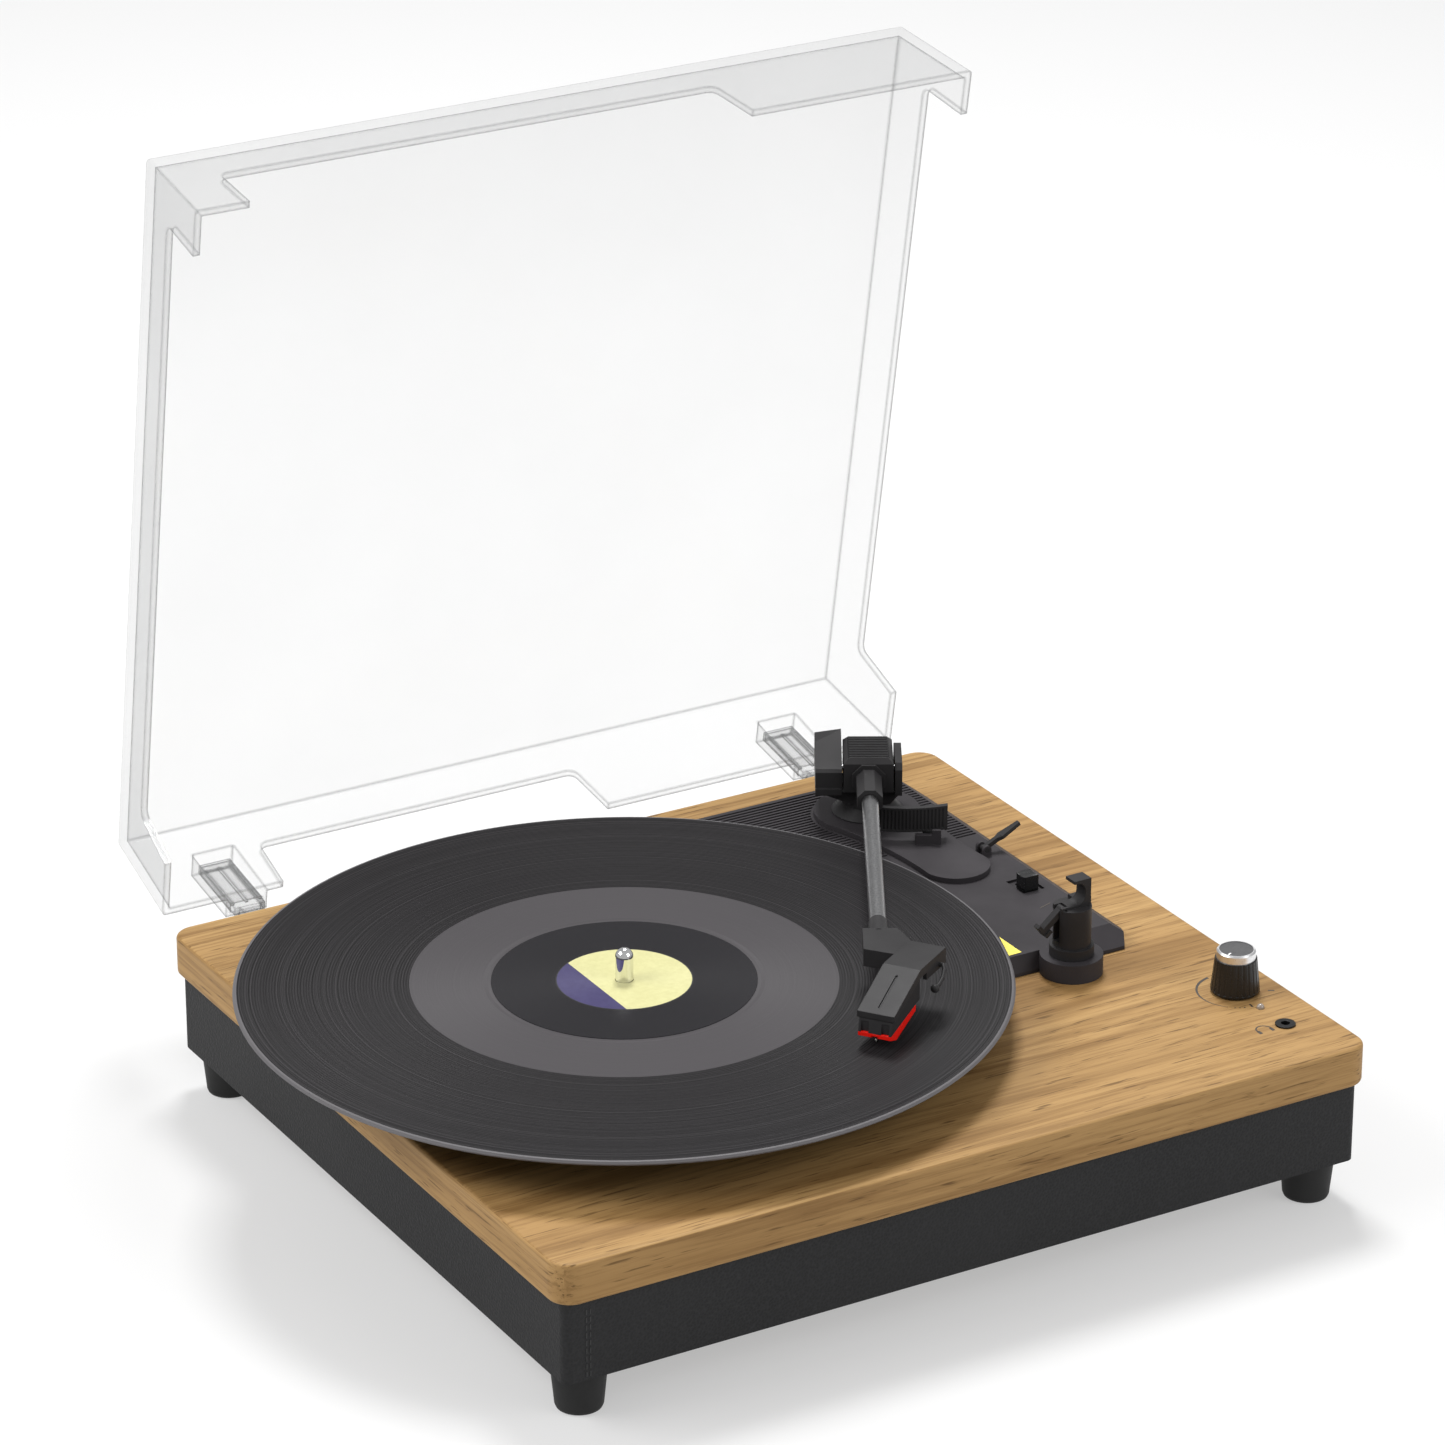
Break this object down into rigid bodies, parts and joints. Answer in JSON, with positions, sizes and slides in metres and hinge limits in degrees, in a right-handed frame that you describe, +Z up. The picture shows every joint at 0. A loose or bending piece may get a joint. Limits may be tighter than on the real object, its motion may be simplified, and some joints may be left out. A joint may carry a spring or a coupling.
{
  "type": "record player",
  "caption": "Belt-drive record player with a wood-grain deck, black cabinet, tonearm over a loaded record and a clear hinged lid standing open.",
  "frame": {"origin": "bottom centre of the bounding box, at the surface the feet stand on, with the lid open", "axes": "+Z up, +X to the right along the front, +Y to the back, towards the hinges"},
  "size_m": [0.3902, 0.3904, 0.3869],
  "materials": {
    "wood_vinyl": "wood-grain vinyl over fibreboard, satin",
    "leatherette": "fine-grained black leatherette",
    "panel_board": "dark hardboard",
    "block_wood": "raw softwood",
    "foot_rubber": "black rubber",
    "mat_rubber": "matt black slip mat",
    "belt_rubber": "matt black rubber",
    "platter_steel": "black painted pressed steel",
    "vinyl": "pressed record vinyl with fine grooves",
    "label_paper": "printed paper label",
    "plate_plastic": "fine-textured moulded black plastic",
    "arm_plastic": "moulded black plastic",
    "arm_metal": "brushed tube, grey",
    "red_plastic": "bright red moulded plastic",
    "stylus_metal": "pale cantilever",
    "steel": "plated steel",
    "chrome": "polished chrome",
    "brass": "turned brass",
    "knob_plastic": "fluted black plastic",
    "silver_cap": "satin silver cap",
    "socket_plastic": "black socket body",
    "lamp": "tinted indicator lens",
    "board_green": "circuit board",
    "cone_paper": "pressed paper cone",
    "clear_acrylic": "clear moulded acrylic",
    "clear_hinge": "clear moulded plastic"
  },
  "bodies": {
    "root": {"cabinet_shell": "leatherette", "bottom_panel": "panel_board", "bottom_panel_screws": "steel", "corner_blocks": "block_wood", "feet": "foot_rubber", "foot_screws": "steel", "deck_board": "wood_vinyl", "spindle": "chrome", "spindle_clip": "steel", "spindle_bearing_plate": "brass", "spindle_nut": "steel", "motor_plate": "steel", "motor_can": "steel", "motor_screws": "steel", "drive_belt": "belt_rubber", "tonearm_plate": "plate_plastic", "tonearm_plate_screws": "steel", "arm_bearing": "brass", "arm_base_cover": "plate_plastic", "arm_rest_post": "arm_plastic", "rest_latch_pin": "steel", "speed_switch_body": "socket_plastic", "control_board": "board_green", "volume_control": "steel", "power_light": "lamp", "headphone_socket": "socket_plastic", "speaker_frames": "steel", "speaker_cones": "cone_paper", "main_board": "board_green", "board_standoffs": "socket_plastic", "rear_panel": "socket_plastic", "line_out_sockets": "brass", "power_socket": "socket_plastic", "lid_hinge_brackets": "clear_hinge", "lid_hinge_pins": "steel", "rear_screws": "steel"},
    "lid": {"lid": "clear_acrylic", "lid_hinge_leaves": "clear_hinge"},
    "platter": {"platter": "platter_steel", "platter_bush": "brass", "platter_mat": "mat_rubber", "record": "vinyl", "record_label": "label_paper"},
    "motor_rotor": {"motor_pulley": "brass", "motor_shaft": "steel"},
    "arm_swing": {"arm_yoke": "arm_plastic"},
    "arm_lift": {"arm_head": "arm_plastic", "arm_pitch_pin": "steel", "arm_tube": "arm_metal", "headshell": "arm_plastic", "cartridge": "arm_plastic", "stylus_guard": "red_plastic", "stylus": "stylus_metal", "finger_lift": "arm_plastic"},
    "lift_bar": {"lift_bar": "arm_plastic"},
    "cue_lever": {"cue_lever": "arm_plastic"},
    "speed_switch": {"speed_switch_knob": "knob_plastic"},
    "volume_knob": {"volume_knob": "knob_plastic", "volume_knob_cap": "silver_cap"},
    "rest_latch": {"rest_latch": "arm_plastic"}
  },
  "joints": [
    {"name": "lid_hinge", "type": "hinge", "parent": "root", "child": "lid", "pos_m": [0.0168, 0.13556, 0.0549], "axis": [1, 0, 0], "range_deg": [0, 80]},
    {"name": "platter_spin", "type": "hinge", "parent": "root", "child": "platter", "pos_m": [-0.0441, -0.03409, 0.0812], "axis": [0, 0, 1], "continuous": true},
    {"name": "motor_spin", "type": "hinge", "parent": "root", "child": "motor_rotor", "pos_m": [-0.10491, 0.02672, 0.0758], "axis": [0, 0, 1], "continuous": true},
    {"name": "arm_swing", "type": "hinge", "parent": "root", "child": "arm_swing", "pos_m": [0.1288, 0.06881, 0.0784], "axis": [0, 0, 1], "range_deg": [-15, 30.5]},
    {"name": "arm_pitch", "type": "hinge", "parent": "arm_swing", "child": "arm_lift", "pos_m": [0.1288, 0.06881, 0.0973], "axis": [-0.8652, 0.5015, 0], "range_deg": [-0.549, 0]},
    {"name": "bar_lift", "type": "slide", "parent": "root", "child": "lift_bar", "axis": [0, 0, 1], "range_m": [-0.0023, 0.0001]},
    {"name": "cue_lever_turn", "type": "hinge", "parent": "root", "child": "cue_lever", "pos_m": [0.1494, 0.01181, 0.0788], "axis": [0, -1, 0], "range_deg": [-28.1, 0.1]},
    {"name": "speed_slide", "type": "slide", "parent": "root", "child": "speed_switch", "axis": [0, 1, 0], "range_m": [0, 0.005]},
    {"name": "volume_turn", "type": "hinge", "parent": "root", "child": "volume_knob", "pos_m": [0.1758, -0.13019, 0.0682], "axis": [0, 0, -1], "range_deg": [0, 290]},
    {"name": "rest_latch_turn", "type": "hinge", "parent": "root", "child": "rest_latch", "pos_m": [0.1246, -0.08319, 0.0965], "axis": [0, 1, 0], "range_deg": [0, 130]}
  ],
  "couplings": [
    {"joint": "motor_spin", "follows": "platter_spin", "ratio": 16.087},
    {"joint": "cue_lever_turn", "follows": "arm_pitch", "ratio": 51.002},
    {"joint": "bar_lift", "follows": "arm_pitch", "m_per_rad": 0.2296}
  ]
}
